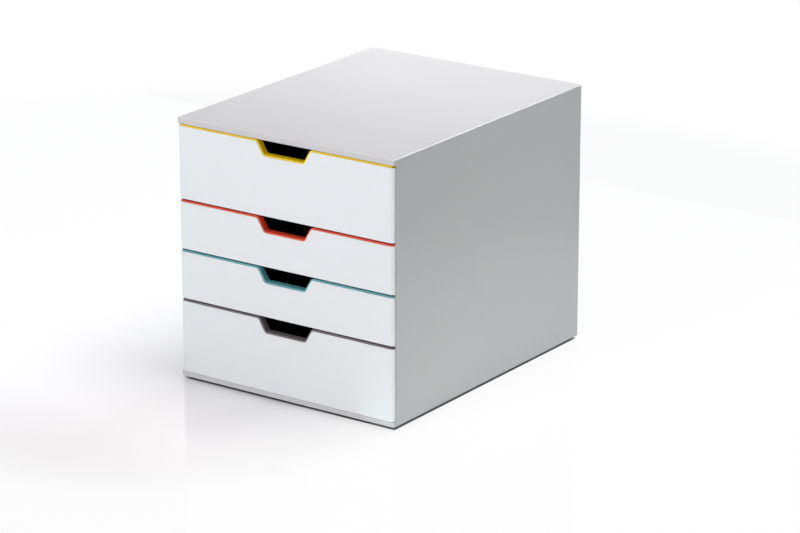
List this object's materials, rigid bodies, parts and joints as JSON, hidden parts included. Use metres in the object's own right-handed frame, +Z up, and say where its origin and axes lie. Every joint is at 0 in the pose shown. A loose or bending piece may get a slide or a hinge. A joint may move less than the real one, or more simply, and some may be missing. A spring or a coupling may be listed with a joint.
{
  "type": "desktop drawer box",
  "caption": "Free-standing desktop drawer box: moulded grey housing with pull-out drawers, white fronts, coloured edges and trapezoid finger grips.",
  "frame": {"origin": "centre of the footprint, on the surface that the feet stand on", "axes": "+Z up, -Y out of the drawer fronts, +X to the viewer's right when facing the fronts"},
  "size_m": [0.28, 0.356, 0.292],
  "materials": {
    "housing": "satin moulded polystyrene, light cool grey",
    "front": "smooth satin white",
    "tray": "matt moulded, anthracite",
    "yellow_edge": "satin moulded, yellow",
    "red_edge": "satin moulded, orange red",
    "teal_edge": "satin moulded, soft teal",
    "taupe_edge": "satin moulded, brown grey",
    "rubber": "matt black rubber"
  },
  "bodies": {
    "housing": {"housing_shell": "housing", "back_panel": "housing", "left_runner_panel": "housing", "right_runner_panel": "housing", "front_left_foot": "rubber", "front_right_foot": "rubber", "rear_left_foot": "rubber", "rear_right_foot": "rubber"},
    "top_drawer": {"top_drawer_tray": "tray", "top_drawer_edge": "yellow_edge", "top_drawer_front": "front"},
    "second_drawer": {"second_drawer_tray": "tray", "second_drawer_edge": "red_edge", "second_drawer_front": "front"},
    "third_drawer": {"third_drawer_tray": "tray", "third_drawer_edge": "teal_edge", "third_drawer_front": "front"},
    "bottom_drawer": {"bottom_drawer_tray": "tray", "bottom_drawer_edge": "taupe_edge", "bottom_drawer_front": "front"}
  },
  "joints": [
    {"name": "top_drawer_slide", "type": "slide", "parent": "housing", "child": "top_drawer", "axis": [0, -1, 0], "range_m": [0, 0.255]},
    {"name": "second_drawer_slide", "type": "slide", "parent": "housing", "child": "second_drawer", "axis": [0, -1, 0], "range_m": [0, 0.255]},
    {"name": "third_drawer_slide", "type": "slide", "parent": "housing", "child": "third_drawer", "axis": [0, -1, 0], "range_m": [0, 0.255]},
    {"name": "bottom_drawer_slide", "type": "slide", "parent": "housing", "child": "bottom_drawer", "axis": [0, -1, 0], "range_m": [0, 0.255]}
  ]
}
